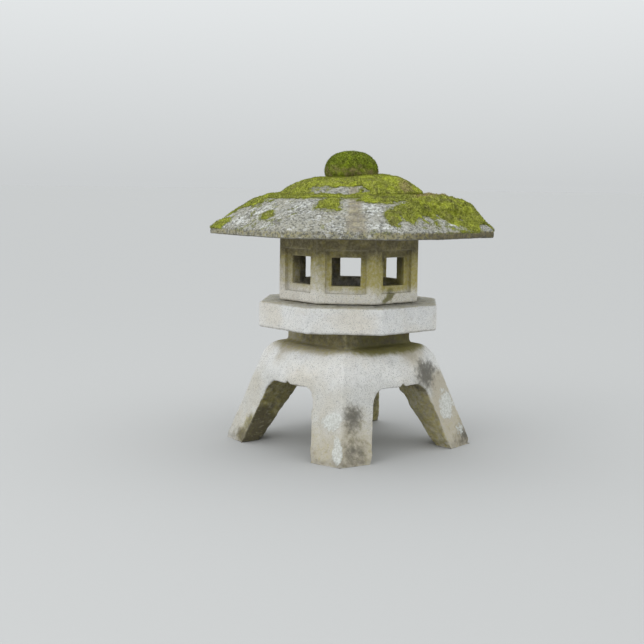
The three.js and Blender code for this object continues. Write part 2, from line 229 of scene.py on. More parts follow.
class Paint:
    """A node material on a Principled shader. Patterns are laid out in the object's own metres."""

    def __init__(self, name):
        self.material = bpy.data.materials.new(name)
        self.material.use_nodes = True
        self.tree = self.material.node_tree
        self.shader = self.tree.nodes["Principled BSDF"]
        self.shader.inputs["Specular IOR Level"].default_value = 0.3
        self.where = self.tree.nodes.new("ShaderNodeTexCoord").outputs["Object"]

    def _feed(self, socket, value):
        if isinstance(value, bpy.types.NodeSocket):
            self.tree.links.new(value, socket)
        elif isinstance(value, (tuple, list)) and len(value) == 3 and socket.type == "RGBA":
            socket.default_value = (*value, 1)
        else:
            socket.default_value = value

    def stretched(self, x, y, z):
        """The coordinates scaled along each axis, for patterns that run one way."""
        node = self.tree.nodes.new("ShaderNodeMapping")
        self._feed(node.inputs["Vector"], self.where)
        node.inputs["Scale"].default_value = (x, y, z)
        return node.outputs["Vector"]

    def noise(self, size, detail=3.0, gain=0.55, seed=0.0, where=None):
        """Cloudy noise about 0.5, its largest blotches of the given size."""
        node = self.tree.nodes.new("ShaderNodeTexNoise")
        node.noise_dimensions = "4D"
        self._feed(node.inputs["Vector"], where or self.where)
        node.inputs["W"].default_value = seed
        node.inputs["Scale"].default_value = 1 / size
        node.inputs["Detail"].default_value = detail
        node.inputs["Roughness"].default_value = gain
        return node.outputs["Fac"]

    def cells(self, size, output="Distance"):
        """Cells of the given size: the distance from each one's middle, or a colour of its own."""
        node = self.tree.nodes.new("ShaderNodeTexVoronoi")
        self._feed(node.inputs["Vector"], self.where)
        node.inputs["Scale"].default_value = 1 / size
        return node.outputs[output]

    def grains(self, size, share, channel):
        """1 on a random share of small cells and 0 on the others. Each channel chooses its own."""
        split = self.tree.nodes.new("ShaderNodeSeparateColor")
        self._feed(split.inputs["Color"], self.cells(size, "Color"))
        return self.ramp(split.outputs[channel], share + 0.02, share - 0.02)

    def value(self, name):
        """A number that the mesh keeps for each point."""
        node = self.tree.nodes.new("ShaderNodeAttribute")
        node.attribute_name = name
        return node.outputs["Fac"]

    def ramp(self, value, start, end, low=0.0, high=1.0):
        """Low where the value is at start, high at end, smoothly between."""
        node = self.tree.nodes.new("ShaderNodeMapRange")
        node.interpolation_type = "SMOOTHSTEP"
        for socket, given in zip(node.inputs[:5], (value, start, end, low, high), strict=True):
            self._feed(socket, given)
        return node.outputs["Result"]

    def maths(self, kind, a, b):
        node = self.tree.nodes.new("ShaderNodeMath")
        node.operation = kind
        self._feed(node.inputs[0], a)
        self._feed(node.inputs[1], b)
        return node.outputs[0]

    def times(self, a, b):
        return self.maths("MULTIPLY", a, b)

    def mix(self, share, a, b, kind="MIX"):
        node = self.tree.nodes.new("ShaderNodeMix")
        node.data_type = "RGBA"
        node.blend_type = kind
        self._feed(node.inputs[0], share)
        self._feed(node.inputs[6], a)
        self._feed(node.inputs[7], b)
        return node.outputs[2]

    def tinted(self, colour, tint):
        return self.mix(1.0, colour, tint, "MULTIPLY")

    def bump(self, height, depth, below=None):
        node = self.tree.nodes.new("ShaderNodeBump")
        node.inputs["Strength"].default_value = 1
        node.inputs["Distance"].default_value = depth
        self._feed(node.inputs["Height"], height)
        if below is not None:
            self._feed(node.inputs["Normal"], below)
        return node.outputs["Normal"]

    def finish(self, colour, roughness, normal=None):
        self._feed(self.shader.inputs["Base Color"], colour)
        self._feed(self.shader.inputs["Roughness"], roughness)
        if normal is not None:
            self._feed(self.shader.inputs["Normal"], normal)
        return self.material


FELDSPAR = (0.71, 0.705, 0.685)
CREAM = (0.69, 0.65, 0.57)
BEIGE = (0.40, 0.355, 0.265)
QUARTZ = (0.42, 0.42, 0.42)
MICA = (0.13, 0.13, 0.13)
WORN_STONE = (0.70, 0.69, 0.66)
CUT_STONE = (0.42, 0.40, 0.28)
PLATFORM_STONE = (0.74, 0.74, 0.725)
FIREBOX_STONE = (0.84, 0.81, 0.74)
JEWEL_STONE = (0.42, 0.40, 0.32)
ROOF_STONE = (0.29, 0.288, 0.25)
ROOF_CREAM = (0.32, 0.305, 0.235)
ROOF_LICHEN_TONE = (0.58, 0.585, 0.57)
PALE_LICHEN = (0.62, 0.63, 0.605)
DULL_LICHEN = (0.47, 0.475, 0.44)
SOOT_LICHEN = (0.080, 0.080, 0.066)
ALGAE = (0.165, 0.150, 0.022)
YELLOW_ALGAE = (0.44, 0.372, 0.078)
# dark grime, which also serves as painted shade
GRIME_AND_SHADE = (0.115, 0.098, 0.078)
SOOT = (0.110, 0.105, 0.088)
MOSS_FILM = (0.19, 0.20, 0.05)
MOSS_BASE = (0.115, 0.130, 0.016)
MOSS_TIPS = (0.295, 0.320, 0.040)
MOSS_FRESH = (0.36, 0.405, 0.030)
MOSS_DULL = (0.125, 0.122, 0.032)
MOSS_BLOND = (0.43, 0.41, 0.13)
MOSS_DEAD = (0.29, 0.225, 0.11)
FLOOR_GREY = (0.40, 0.40, 0.398)

# what a colour is multiplied by
GREY_TINT = (0.62, 0.63, 0.65)
BROWN_TINT = (0.66, 0.58, 0.48)
HAZE_TINT = (0.79, 0.79, 0.775)
MOSS_SHADE = (0.42, 0.43, 0.36)
CROWN_TINT = (1.18, 1.17, 1.25)
SLOPE_TINT = (1.06, 1.05, 1.20)
CAP_TINT = (0.76, 0.86, 0.50)


def patchy(paint, name, size, soft, spread):
    """A kept value turned into a patch.

    Its border has lumps of the given size. Soft is the width of its fade, and spread how ragged it is.
    """
    ragged = paint.maths("SUBTRACT", paint.noise(size, 5, 0.62), 0.5)
    ragged = paint.times(ragged, 2 * spread)
    return paint.ramp(paint.maths("ADD", paint.value(name), ragged), 0.5 - soft, 0.5 + soft)


def crystals(paint, base, contrast, cream=CREAM):
    """Weathered granite: feldspar, quartz and flakes of mica, with cream, grey and brownish clouds."""
    colour = paint.mix(paint.ramp(paint.noise(0.19), 0.40, 0.68, 0, 0.8), base, cream)
    cloudy = paint.ramp(paint.noise(0.032, 7, 0.70, seed=1), 0.45, 0.70, 0, 0.75 * contrast)
    colour = paint.mix(cloudy, colour, paint.tinted(colour, GREY_TINT))
    brownish = paint.ramp(paint.noise(0.020, 6, 0.68, seed=6), 0.52, 0.72, 0, 0.9 * contrast)
    colour = paint.mix(brownish, colour, paint.tinted(colour, BROWN_TINT))
    quartz = paint.times(paint.grains(0.0027, 0.30, "Green"), 0.6 * contrast)
    colour = paint.mix(quartz, colour, QUARTZ)
    mica = paint.times(paint.grains(0.0019, 0.09, "Red"), 1.4 * contrast)
    return paint.mix(mica, colour, MICA)


def stained(paint, colour):
    """The colour under the mesh's dirt, algae, grime and painted shade, soot, moss film and lichen, and the
    lichen's cover.
    """
    speckled = paint.ramp(paint.noise(0.0075, 4, 0.7, seed=8), 0.36, 0.62, 0.70, 1.0)
    haze = patchy(paint, "haze", 0.045, 0.45, 0.50)
    colour = paint.mix(haze, colour, paint.tinted(colour, HAZE_TINT))
    beige = patchy(paint, "beige", 0.030, 0.38, 0.45)
    colour = paint.mix(paint.times(beige, 0.75), colour, BEIGE)
    yellow = paint.times(patchy(paint, "yellow", 0.014, 0.36, 0.55), speckled)
    colour = paint.mix(paint.times(yellow, 0.95), colour, YELLOW_ALGAE)
    algae = patchy(paint, "algae", 0.020, 0.34, 0.45)
    colour = paint.mix(paint.times(algae, 0.85), colour, ALGAE)
    # grime, also painted shade: under the eaves, round the neck, under the arches and round the firebox's
    # foot
    grimy_and_shaded = paint.times(patchy(paint, "grime", 0.026, 0.36, 0.75), speckled)
    colour = paint.mix(paint.times(grimy_and_shaded, 0.85), colour, GRIME_AND_SHADE)
    soot = patchy(paint, "soot", 0.014, 0.36, 0.85)
    colour = paint.mix(paint.times(soot, 0.82), colour, SOOT)
    film = patchy(paint, "film", 0.006, 0.22, 0.9)
    colour = paint.mix(paint.times(film, 0.6), colour, MOSS_FILM)
    crust = patchy(paint, "lichen", 0.014, 0.12, 0.80)
    tone = paint.mix(paint.ramp(paint.noise(0.006, 3), 0.4, 0.6), PALE_LICHEN, DULL_LICHEN)
    return paint.mix(paint.times(crust, 0.88), colour, tone), crust


def chiselled(paint, colour):
    """Short pale strokes of the chisel on the faces left as cut, and their relief."""
    level = paint.stretched(0.40, 0.40, 1.0)
    strokes = paint.ramp(paint.noise(0.0065, 1, 0.5, seed=5, where=level), 0.53, 0.62)
    broken = paint.ramp(paint.noise(0.03, 2, seed=9), 0.40, 0.60)
    shown = paint.times(paint.times(strokes, broken), paint.value("tooled"))
    return paint.mix(paint.times(shown, 0.42), colour, CUT_STONE), shown


def granite(name, base=FELDSPAR, contrast=0.30):
    """Weathered granite. The mesh says where it is stained, painted with shade, lichened, tooled and worn."""
    paint = Paint(name)
    colour, crust = stained(paint, crystals(paint, base, contrast))
    colour, strokes = chiselled(paint, colour)
    wear = paint.times(paint.value("edge"), 0.15)
    colour = paint.mix(wear, colour, WORN_STONE)
    roughness = paint.ramp(paint.noise(0.02), 0.3, 0.7, 0.82, 0.97)
    fine = paint.bump(paint.noise(0.0045, 3, 0.7), 0.0010)
    pocked = paint.bump(paint.cells(0.008), 0.0006, fine)
    cut = paint.bump(strokes, 0.002, pocked)
    return paint.finish(colour, roughness, paint.bump(crust, 0.0008, cut))


def roof_granite(name):
    """Granite crowded with small pale and sooty lichens, except where rain keeps a strip clean."""
    paint = Paint(name)
    colour = crystals(paint, ROOF_STONE, 0.35, ROOF_CREAM)
    crowd = paint.value("crowd")
    fields = paint.ramp(paint.noise(0.075, 4, 0.5, seed=7), 0.40, 0.62, 0.40, 1.0)
    pale = paint.ramp(paint.noise(0.012, 7, 0.68, seed=4), 0.50, 0.59)
    shown = paint.times(pale, paint.times(crowd, fields))
    colour = paint.mix(paint.times(shown, 0.90), colour, ROOF_LICHEN_TONE)
    colour, crust = stained(paint, colour)
    sooty = paint.ramp(paint.noise(0.0085, 5, 0.64, seed=3), 0.52, 0.61)
    dotted = paint.maths("MAXIMUM", sooty, paint.times(paint.grains(0.0055, 0.16, "Blue"), 0.8))
    colour = paint.mix(paint.times(dotted, paint.times(crowd, 0.76)), colour, SOOT_LICHEN)
    roughness = paint.ramp(paint.noise(0.02), 0.3, 0.7, 0.86, 0.98)
    fine = paint.bump(paint.noise(0.004, 3, 0.7), 0.0010)
    raised = paint.bump(paint.maths("SUBTRACT", pale, sooty), 0.0008, fine)
    return paint.finish(colour, roughness, paint.bump(crust, 0.0008, raised))


def moss_paint(name, tint):
    """Cushion moss: yellow-green tips over dark green, with blond, dull and dead brown patches."""
    paint = Paint(name)
    tips = paint.ramp(paint.noise(0.0065, 4, 0.7), 0.36, 0.66)
    colour = paint.mix(tips, MOSS_BASE, MOSS_TIPS)
    fresh = paint.ramp(paint.noise(0.042, 5, 0.62, seed=1), 0.46, 0.66)
    colour = paint.mix(paint.times(fresh, 0.65), colour, MOSS_FRESH)
    dull = paint.ramp(paint.noise(0.032, 5, 0.62, seed=2), 0.50, 0.64)
    colour = paint.mix(paint.times(dull, 0.75), colour, MOSS_DULL)
    blond = paint.ramp(paint.noise(0.013, 6, 0.68, seed=3), 0.53, 0.68)
    colour = paint.mix(paint.times(blond, 0.5), colour, MOSS_BLOND)
    colour = paint.tinted(colour, tint)
    dead = patchy(paint, "dead", 0.016, 0.28, 0.65)
    colour = paint.mix(paint.times(dead, 0.8), colour, MOSS_DEAD)
    exposed = paint.ramp(paint.value("exposed"), 0.0, 0.7)
    colour = paint.mix(exposed, paint.tinted(colour, MOSS_SHADE), colour)
    normal = paint.bump(paint.noise(0.0035, 3, 0.75), 0.0022)
    return paint.finish(colour, 0.95, normal)


def plain_paint(name, light, dark, roughness, size, metal=0.0):
    """A small piece's finish: two tones of one material, cloudy, with a fine uneven surface."""
    paint = Paint(name)
    colour = paint.mix(paint.ramp(paint.noise(size, 4), 0.35, 0.65), dark, light)
    paint.shader.inputs["Metallic"].default_value = metal
    normal = paint.bump(paint.noise(size / 4, 3), 0.0003)
    uneven = paint.ramp(paint.noise(size / 2), 0.3, 0.7, roughness - 0.1, roughness + 0.1)
    return paint.finish(colour, uneven, normal)


# ---- stones ----


def dress(piece, node, body, material):
    """Puts a piece in a CAD node's place, with its material."""
    piece.data.materials.append(material)
    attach(piece, body)
    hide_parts(node)
    return piece


def blob(points, centre, reach, seed):
    """1 at a centre, falling to 0 about a reach away, with an uneven outline."""
    away = np.linalg.norm((points - np.array(centre)) / np.array(reach), axis=1)
    return np.clip(1.15 - away + 0.35 * rough(points, 0.04, seed), 0, 1)


def spots(points, each):
    """Several blobs of given strengths added together."""
    return sum(strength * blob(points, centre, reach, seed) for centre, reach, strength, seed in each)


KINDS = ("haze", "beige", "yellow", "algae", "grime", "soot", "film", "lichen", "crowd", "tooled")


def stain(piece, **kinds):
    """Keeps on the mesh how strongly each kind of growth, dirt and painted shade covers every point."""
    for kind in KINDS:
        keep_values(piece.data, kind, kinds.get(kind, np.zeros(len(piece.data.vertices))))


def tool_marks(piece, inside):
    """Rough chisel courses on the faces that were left as cut."""
    mesh = piece.data
    points = places(mesh)
    slanted = points[:, 2] + 0.25 * (points[:, 0] - points[:, 1])
    courses = np.stack([points[:, 0] / 3.5, points[:, 1] / 3.5, slanted], axis=1)
    strokes = lumps(courses, 0.014, 41)
    coarse = rough(points, 0.04, 47)
    move(mesh, points + facing(mesh) * (inside * (0.0030 * strokes + 0.0030 * coarse))[:, None])


def worn_feet(piece):
    """Rounds the ragged bottoms of the legs, which still stand on the ground."""
    mesh = piece.data
    points = places(mesh)
    outwards = facing(mesh)
    level = np.hypot(outwards[:, 0], outwards[:, 1])
    near_ground = fade(points[:, 2], 0.030, 0.0)
    bite = near_ground**2 * level * (0.006 + 0.005 * rough(points, 0.03, 15))
    points[:, :2] -= outwards[:, :2] * bite[:, None]
    points[:, 2] = np.maximum(points[:, 2], 0)
    move(mesh, points)


# each spot's centre, reach along each axis, strength and seed
LEG_SOOT = [
    ((0.264, -0.080, 0.248), (0.082, 0.080, 0.062), 1.20, 61),
    ((0.034, -0.345, 0.145), (0.044, 0.080, 0.056), 1.05, 62),
    ((0.040, -0.370, 0.050), (0.056, 0.080, 0.070), 0.85, 63),
    ((0.395, -0.020, 0.040), (0.060, 0.070, 0.055), 0.90, 69),
    ((-0.030, 0.360, 0.100), (0.050, 0.080, 0.080), 0.90, 72),
    ((-0.400, 0.040, 0.060), (0.060, 0.050, 0.060), 0.75, 73),
    ((0.120, 0.240, 0.290), (0.070, 0.070, 0.050), 0.70, 74),
]
LEG_LICHEN = [
    ((-0.030, -0.345, 0.134), (0.042, 0.080, 0.036), 1.45, 64),
    ((-0.009, -0.395, 0.050), (0.020, 0.060, 0.062), 1.15, 65),
    ((0.336, -0.040, 0.145), (0.046, 0.060, 0.074), 1.20, 66),
    ((0.388, -0.035, 0.062), (0.030, 0.050, 0.040), 0.75, 81),
    ((0.040, 0.330, 0.190), (0.040, 0.060, 0.050), 1.15, 75),
    ((-0.330, 0.060, 0.170), (0.050, 0.050, 0.045), 1.10, 76),
]
LEG_BEIGE = [
    ((0.225, -0.120, 0.318), (0.090, 0.080, 0.045), 0.80, 68),
    ((0.300, -0.040, 0.215), (0.050, 0.060, 0.050), 0.70, 77),
    ((-0.235, -0.110, 0.300), (0.080, 0.060, 0.050), 0.60, 78),
    ((0.335, -0.030, 0.120), (0.095, 0.090, 0.130), 1.40, 80),
]
LOW_INSIDE = [
    ((-0.283, -0.078, 0.040), (0.082, 0.070, 0.080), 1.45, 70),
    ((-0.350, -0.060, 0.020), (0.060, 0.060, 0.030), 0.55, 79),
]


def leg_stone():
    """Pale outside, olive and rough on the faces under the arches, where painted shade darkens them except on
    the right jamb that faces the light; darkest round the neck, with grime and painted shade.
    """
    piece, edge = carve("leg_stone", 0.0042, 3)
    mesh = piece.data
    points = places(mesh)
    azimuth, radius = polar(points)
    height = points[:, 2]
    outwards = points[:, :2] / np.maximum(radius, 1e-6)[:, None]
    turned_out = (facing(mesh)[:, :2] * outwards).sum(axis=1)
    # the faces under the arches: olive algae, and grime that partly paints their shade
    inside = fade(height, ARCH_POINT + 0.025, ARCH_POINT - 0.002) * fade(turned_out, 0.30, 0.0)
    outside = 1 - inside
    weather(piece, edge, 11)
    tool_marks(piece, inside)
    worn_feet(piece)
    neck = fade(height, SHOULDER, SHOULDER + 0.008)
    # the shoulder just below the neck: olive stain and the platform's painted shadow
    stain_and_shade_below_neck = (1 - neck) * fade(height, SHOULDER - 0.038, SHOULDER - 0.001) * fade(radius, 0.300, 0.215)
    right = fade(azimuth, -10, 25) * fade(azimuth, 130, 90)
    low = outside * fade(height, 0.25, 0.06)
    foot = outside * fade(height, 0.09, 0.0)
    cool = fade(points[:, 0], -0.15, -0.24)
    low_inside = spots(points, LOW_INSIDE)
    # painted light: the right jamb faces the light, so it gets less of the painted shade and grime
    lit_right_jamb = inside * fade(points[:, 0], 0.12, 0.24)
    # the neck, in the platform's shade: grime and painted shade, lighter at its lit left corner
    neck_grime = neck * (1 - 0.6 * fade(points[:, 0], -0.120, -0.180))
    soot = spots(points, LEG_SOOT)
    beige = (0.58 * low + 0.15 * foot) * (1 - 0.4 * cool) + spots(points, LEG_BEIGE) + 0.35 * soot
    beige += stain_and_shade_below_neck * (0.85 - 0.4 * right) + 0.7 * neck * (1 - right) + 0.4 * lit_right_jamb
    algae = stain_and_shade_below_neck * (0.1 + 0.85 * right) + neck_grime * (0.25 + 0.6 * right) - 0.22 * lit_right_jamb
    grime = 0.35 * foot + 0.60 * neck_grime + 0.2 * stain_and_shade_below_neck + 0.45 * soot - 0.20 * lit_right_jamb
    yellow = 0.22 * low * (1 - 0.6 * cool) + 0.30 * neck + 0.35 * neck_grime + 0.5 * stain_and_shade_below_neck
    yellow += 0.1 * soot - 0.16 * lit_right_jamb
    stain(
        piece,
        haze=0.95 * outside * fade(height, 0.300, 0.190),
        beige=beige,
        algae=algae + 0.54 * inside + 0.75 * low_inside,
        grime=grime + 0.48 * inside + 0.6 * low_inside,
        yellow=yellow + 0.68 * inside + 0.5 * low_inside,
        soot=0.80 * soot,
        lichen=outside * spots(points, LEG_LICHEN),
        tooled=inside,
    )
    paint = granite("granite_legs", contrast=0.36)
    return dress(piece, "leg_stone", "base", paint)


def platform_stone():
    """The cleanest stone, darker only on top and underneath, and darkest on top round the firebox's foot,
    with dirt and painted shade.
    """
    piece, edge = carve("platform_stone", 0.0037, 2, crisp=True)
    weather(piece, edge, 21, swell=0.0008, chips=0.0025)
    points = places(piece.data)
    reach = octagon_reach(points)
    top = fade(points[:, 2], PLATFORM[1].z - 0.022, PLATFORM[1].z - 0.014)
    under = fade(points[:, 2], PLATFORM[0].z + 0.012, PLATFORM[0].z)
    # round the firebox's foot: dirt and the firebox's painted shade
    firebox_shade_and_dirt = top * fade(reach, 0.285, 0.225)
    stain(piece, algae=0.4 * under, grime=0.15 * top + 0.35 * firebox_shade_and_dirt + 0.35 * under, yellow=0.4 * top)
    paint = granite("granite_platform", PLATFORM_STONE, 0.34)
    return dress(piece, "platform_stone", "platform", paint)


# where water has run down dark below the right-hand window, in the same terms
RUN_DOWN = [
    ((0.148, -0.178, 0.530), (0.016, 0.030, 0.020), 1.6, 67),
    ((0.137, -0.187, 0.513), (0.014, 0.030, 0.017), 1.5, 68),
    ((0.124, -0.196, 0.500), (0.013, 0.030, 0.013), 1.2, 69),
]


def firebox_stone():
    """Dark under the eaves with the roof's painted shade and grime, yellowed on the right and round the
    windows, paler along its foot.
    """
    piece, edge = carve("firebox_stone", 0.003, 1, crisp=True)
    weather(piece, edge, 31, swell=0.0006, pits=0.0009, chips=0.0018)
    points = places(piece.data)
    height = points[:, 2]
    azimuth, radius = polar(points)
    inside = fade(octagon_reach(points), 0.215, 0.195)
    side = (azimuth + 22.5) % 45 - 22.5
    across = radius * np.sin(np.radians(side))
    middle = (FIREBOX[0].z + FIREBOX[1].z) / 2 - 0.005
    from_window = np.maximum(np.abs(across), np.abs(height - middle)) - WINDOW_HALF
    panel = fade(from_window, 0.040, 0.0)
    right = fade(azimuth, -45, 30) * fade(azimuth, 170, 120)
    # the upper band under the eaves: the roof's painted shade with grime, algae and yellowing
    eave_shade_and_grime = fade(height, FIREBOX[0].z + 0.085, FIREBOX[1].z - 0.03)
    uneven = height + 0.012 * rough(points, 0.05, 37)
    plinth = fade(uneven, FIREBOX[0].z + 0.072, FIREBOX[0].z + 0.022)
    streak = spots(points, RUN_DOWN)
    stain(
        piece,
        beige=(0.40 - 0.24 * right) * (1 - plinth),
        yellow=(0.34 + 0.22 * panel + 0.54 * right) * (1 - 0.70 * plinth) + 0.45 * eave_shade_and_grime,
        algae=0.25 * panel * right + 0.42 * eave_shade_and_grime + 0.3 * inside + 0.85 * streak,
        grime=0.42 * inside + 0.74 * eave_shade_and_grime + 0.25 * streak,
    )
    paint = granite("granite_firebox", FIREBOX_STONE, 0.32)
    return dress(piece, "firebox_stone", "firebox", paint)


def hand_cut(points):
    """The eaves reach further out on the right, and the left slope is a little hollower."""
    azimuth, radius = polar(points)
    shifted = points.copy()
    shifted[:, 0] += EAVE_SHIFT * fade(radius, CROWN[1].x, ROOF[1].x)
    on_left = fade(np.abs(azimuth + 80), 75, 30)
    slope = fade(radius, 0.23, 0.30) * fade(radius, 0.48, 0.40) * (points[:, 2] > ROOF[0].z + 0.03)
    shifted[:, 2] -= 0.006 * on_left * slope
    return shifted


ROOF_LICHEN = [
    # azimuth, distance from the axis, reach round and down the slope (degrees and metres)
    (12.5, 0.350, 0.044, 0.040),
    (16, 0.432, 0.110, 0.020),
    (-22, 0.335, 0.050, 0.045),
    (-33, 0.425, 0.060, 0.026),
    (-47, 0.350, 0.055, 0.060),
    (-54, 0.415, 0.075, 0.028),
    (50, 0.432, 0.070, 0.020),
    (150, 0.400, 0.120, 0.045),
    (-165, 0.400, 0.100, 0.050),
    (-125, 0.380, 0.080, 0.060),
    (-92, 0.420, 0.060, 0.040),
]


def roof_lichen(points):
    """Thickets of pale lichen on the slopes."""
    azimuth, _ = polar(points)
    reach = octagon_reach(points)
    apart = np.min([from_patch(azimuth, reach, *patch) for patch in ROOF_LICHEN], axis=0)
    return 0.56 * np.clip(1.3 - apart, 0, 1)


def roof_stone():
    """Crowded with lichens on its slopes and round its upright edge."""
    piece, edge = carve("roof_stone", 0.0045, 2, crisp=True)
    weather(piece, edge, 51, swell=0.0016, pits=0.002, chips=0.0035)
    mesh = piece.data
    move(mesh, hand_cut(places(mesh)))
    points = places(mesh)
    azimuth, _ = polar(points)
    up = facing(mesh)[:, 2]
    top = fade(up, 0.1, 0.5)
    under = fade(up, -0.3, -0.7)
    band = (1 - top) * (1 - under)
    clean = fade(np.abs(azimuth - 5.5) + 2.5 * rough(points, 0.03, 57), 6.5, 2.0)
    right = fade(azimuth, 5, 45)
    cover = np.maximum(slope_moss(points)[0], crown_moss(points)[0])
    stain(
        piece,
        crowd=top * (1 - 0.55 * clean) + 0.95 * band,
        beige=0.25 * band + top * (0.20 + 0.40 * clean),
        yellow=band * (0.36 + 0.34 * right) + top * (0.10 + 0.20 * clean),
        algae=band * (0.12 + 0.48 * right) + 0.3 * under,
        grime=0.6 * under + band * (0.22 + 0.64 * right) + 0.52 * top * clean,
        lichen=top * roof_lichen(points),
        soot=top * blob(points, (-0.213, -0.377, 0.757), (0.040, 0.030, 0.020), 58),
        film=0.75 * fade(cover, -0.45, 0.05),
    )
    return dress(piece, "roof_stone", "roof", roof_granite("granite_roof"))


def jewel_stone():
    """Dark all over, as the moss covers it."""
    piece, edge = carve("jewel_stone", 0.003, 4)
    weather(piece, edge, 71)
    every = np.ones(len(piece.data.vertices))
    stain(piece, algae=0.8 * every, grime=0.4 * every)
    paint = granite("granite_jewel", JEWEL_STONE)
    return dress(piece, "jewel_stone", "jewel", paint)


# ---- moss ----


def moss_mat(name, stone, growth, seed):
    """A closed mat grown out of a stone's surface, in rounded cushions.

    Growth gives each point its share of cover and the height of full cover. A share above 0 is moss.
    """
    source = bmesh.new()
    source.from_mesh(stone.data)
    source.verts.ensure_lookup_table()
    growing = growth(places(stone.data))[0] > 0
    bare = [v for v in source.verts if not growing[v.index]]
    bmesh.ops.delete(source, geom=bare, context="VERTS")
    loose = [v for v in source.verts if not v.link_faces]
    bmesh.ops.delete(source, geom=loose, context="VERTS")
    bmesh.ops.subdivide_edges(source, edges=source.edges[:], cuts=1, use_grid_fill=True)
    mesh = bpy.data.meshes.new(name)
    source.to_mesh(mesh)
    source.free()
    for layer in [a.name for a in mesh.attributes if a.data_type == "FLOAT" and a.domain == "POINT"]:
        mesh.attributes.remove(mesh.attributes[layer])
    ground = relaxed(places(mesh), edge_ends(mesh), 3)
    outwards = relaxed(facing(mesh), edge_ends(mesh), 8)
    outwards /= np.maximum(np.linalg.norm(outwards, axis=1), 1e-6)[:, None]
    share, tall = growth(ground)
    grown = tall * np.clip(share, 0, 1) ** 0.65
    clump = 1 - np.minimum(cushions(ground, 0.034, seed), 1) ** 2
    small = 1 - np.minimum(cushions(ground, 0.010, seed + 5), 1) ** 2
    high = grown * (0.66 + 0.34 * clump + 0.25 * lumps(ground, 0.08, seed + 9))
    high += 0.0022 * (small - 0.5) * fade(grown, 0.0, 0.004)
    piece = link(name, mesh)
    close_under(mesh, ground, outwards, high)
    tips = 0.35 + 0.65 * small * (0.4 + 0.6 * clump)
    keep_values(mesh, "exposed", np.concatenate([tips, np.zeros(len(ground))]))
    return piece


def close_under(mesh, ground, outwards, high):
    """Turns an open sheet into a closed mat, its top raised off the ground and its underside sunk into it."""
    shell = bmesh.new()
    shell.from_mesh(mesh)
    shell.verts.ensure_lookup_table()
    count = len(ground)
    rim = [e for e in shell.edges if len(e.link_faces) == 1]
    rim_ends = [(e.link_loops[0].vert.index, e.link_loops[0].link_loop_next.vert.index) for e in rim]
    faces = [[v.index for v in f.verts] for f in shell.faces]
    shell.free()
    top = ground + outwards * high[:, None]
    bottom = ground - outwards * MAT_DEPTH
    every = faces + [[i + count for i in reversed(f)] for f in faces]
    every += [[b, a, a + count, b + count] for a, b in rim_ends]
    mesh.clear_geometry()
    mesh.from_pydata(np.vstack([top, bottom]), [], every)
    mesh.polygons.foreach_set("use_smooth", np.ones(len(mesh.polygons), bool))
    mesh.update()


def triangles(mesh, keep):
    """The corners of the mesh's triangles whose points are all kept."""
    mesh.calc_loop_triangles()
    corners = np.empty(len(mesh.loop_triangles) * 3, np.int32)
    mesh.loop_triangles.foreach_get("vertices", corners)
    corners = corners.reshape(-1, 3)
    return places(mesh)[corners[keep[corners].all(axis=1)]]


def sprigs(name, ground, crowding, count, seed):
    """Closed three-sided shoots standing all over the ground's triangles, more where these are crowded."""
    rng = np.random.default_rng(seed)
    a, b, c = (ground[:, k] for k in range(3))
    cross = np.cross(b - a, c - a)
    area = np.linalg.norm(cross, axis=1)
    weight = area * crowding
    chosen = rng.choice(len(area), count, p=weight / weight.sum())
    u, v = rng.random(count), rng.random(count)
    fold = u + v > 1
    u[fold], v[fold] = 1 - u[fold], 1 - v[fold]
    foot = a[chosen] + u[:, None] * (b - a)[chosen] + v[:, None] * (c - a)[chosen]
    out = cross[chosen] / np.maximum(area[chosen], 1e-12)[:, None]
    lean = out + 0.55 * rng.normal(size=(count, 3)) + np.array([0, 0, 0.35])
    lean /= np.linalg.norm(lean, axis=1)[:, None]
    side = np.cross(lean, rng.normal(size=(count, 3)))
    side /= np.linalg.norm(side, axis=1)[:, None]
    other = np.cross(lean, side)
    tall = SHOOT_LENGTH * rng.uniform(0.5, 1.2, count)
    wide = 0.22 * tall
    ring = []
    for k in range(3):
        turn = 2 * math.pi * k / 3
        arm = math.cos(turn) * side + math.sin(turn) * other
        ring.append(foot - lean * 0.0008 + arm * wide[:, None])
    tip = foot + lean * tall[:, None]
    every = np.stack([*ring, tip], axis=1).reshape(-1, 3)
    faces = []
    for i in range(0, 4 * count, 4):
        faces += [(i + 1, i, i + 2), (i, i + 1, i + 3), (i + 1, i + 2, i + 3), (i + 2, i, i + 3)]
    made = bpy.data.meshes.new(name)
    made.from_pydata(every, [], faces)
    keep_values(made, "exposed", np.tile([0.3, 0.3, 0.3, 1.0], count))
    return link(name, made)


def crown_moss(points):
    """Nearly all of the raised crown, thicker on the right, with a thin lichened patch low on its front."""
    azimuth, _ = polar(points)
    reach = octagon_reach(points)
    on_top = points[:, 2] > CROWN[0].z - 0.012
    outer = fade(reach, CROWN_REACH + 0.006, CROWN_REACH - 0.008)
    share = 3 * np.minimum(outer, fade(reach, 0.064, 0.080))
    bare = np.hypot((points[:, 0] + 0.028) / 0.078, (points[:, 2] - 0.850) / 0.0125)
    thin = np.minimum(share, bare - 1 + rough(points, 0.020, 82, 4))
    share = np.where(points[:, 1] < 0, thin, share)
    right = fade(np.abs(azimuth - 85), 100, 30)
    return np.where(on_top, share, -1), 0.0065 + 0.012 * right


